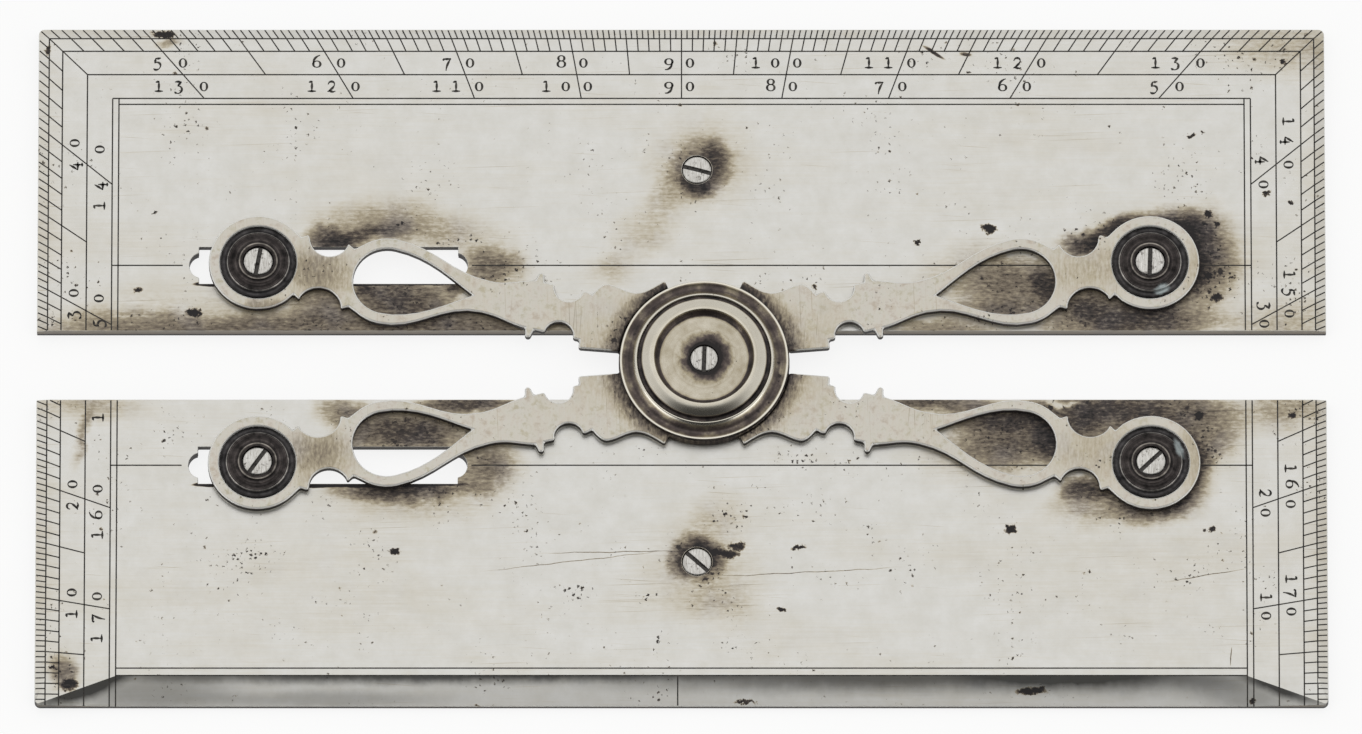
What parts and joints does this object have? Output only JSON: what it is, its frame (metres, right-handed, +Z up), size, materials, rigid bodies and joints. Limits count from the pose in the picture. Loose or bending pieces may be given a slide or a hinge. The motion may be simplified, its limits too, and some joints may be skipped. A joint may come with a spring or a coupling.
{
  "type": "parallel rule",
  "caption": "Scissor-jointed parallel rule: two flat graduated metal plates held parallel by a crossed pair of pierced bars, with fixed pivots at one end and sliding pivots in slots at the other.",
  "frame": {"origin": "bottom centre of the rule's box as drawn, partly open: midway between the plates, in the plane of their undersides", "axes": "+X along the plates towards the fixed pivots, +Y from the lower plate to the upper plate, +Z up from the undersides"},
  "size_m": [0.1524, 0.0848, 0.0049],
  "materials": {
    "plate_metal": "nickel silver, a white brass, drawn along its length with fine abrasive, lightly tarnished",
    "bar_metal": "nickel silver, a white brass, filed and drawn, tarnished round the centre",
    "disc_metal": "nickel silver, a white brass, turned",
    "cap_steel": "turned steel, darkened to brown-black",
    "screw_steel": "bright filed steel",
    "inner_steel": "plain turned steel"
  },
  "bodies": {
    "lower_plate": {"lower_plate": "plate_metal", "lower_plate_screw": "screw_steel", "lower_stud": "inner_steel", "lower_right_cap": "cap_steel", "lower_right_screw": "screw_steel"},
    "falling_bar": {"falling_bar": "bar_metal", "centre_post": "inner_steel", "centre_disc": "disc_metal", "centre_screw": "screw_steel"},
    "rising_bar": {"rising_bar": "bar_metal"},
    "upper_plate": {"upper_plate": "plate_metal", "upper_plate_screw": "screw_steel", "upper_stud": "inner_steel", "upper_right_cap": "cap_steel", "upper_right_screw": "screw_steel"},
    "upper_slider": {"upper_slider": "inner_steel", "upper_keeper": "inner_steel", "upper_left_cap": "cap_steel", "upper_left_screw": "screw_steel"},
    "lower_slider": {"lower_slider": "inner_steel", "lower_keeper": "inner_steel", "lower_left_cap": "cap_steel", "lower_left_screw": "screw_steel"}
  },
  "joints": [
    {"name": "opening", "type": "hinge", "parent": "lower_plate", "child": "falling_bar", "pos_m": [0.0554, -0.01255, 0.0022], "axis": [0, 0, -1], "range_deg": [-4.57, 24]},
    {"name": "crossing", "type": "hinge", "parent": "falling_bar", "child": "rising_bar", "pos_m": [0.00267, 0, 0.0022], "axis": [0, 0, 1], "range_deg": [-9.2, 48.1]},
    {"name": "upper_fixed_pivot", "type": "hinge", "parent": "rising_bar", "child": "upper_plate", "pos_m": [0.0554, 0.01255, 0.0022], "axis": [0, 0, 1], "range_deg": [-24.1, 4.6]},
    {"name": "upper_sliding_pivot", "type": "hinge", "parent": "falling_bar", "child": "upper_slider", "pos_m": [-0.05005, 0.01255, 0.0022], "axis": [0, 0, 1], "range_deg": [-4.6, 24.1]},
    {"name": "lower_sliding_pivot", "type": "hinge", "parent": "rising_bar", "child": "lower_slider", "pos_m": [-0.05005, -0.01255, 0.0022], "axis": [0, 0, 1], "range_deg": [-24.1, 4.6]}
  ],
  "couplings": [
    {"joint": "crossing", "follows": "opening", "ratio": 2},
    {"joint": "upper_fixed_pivot", "follows": "opening", "ratio": -1},
    {"joint": "upper_sliding_pivot", "follows": "opening", "ratio": 1},
    {"joint": "lower_sliding_pivot", "follows": "opening", "ratio": -1}
  ]
}
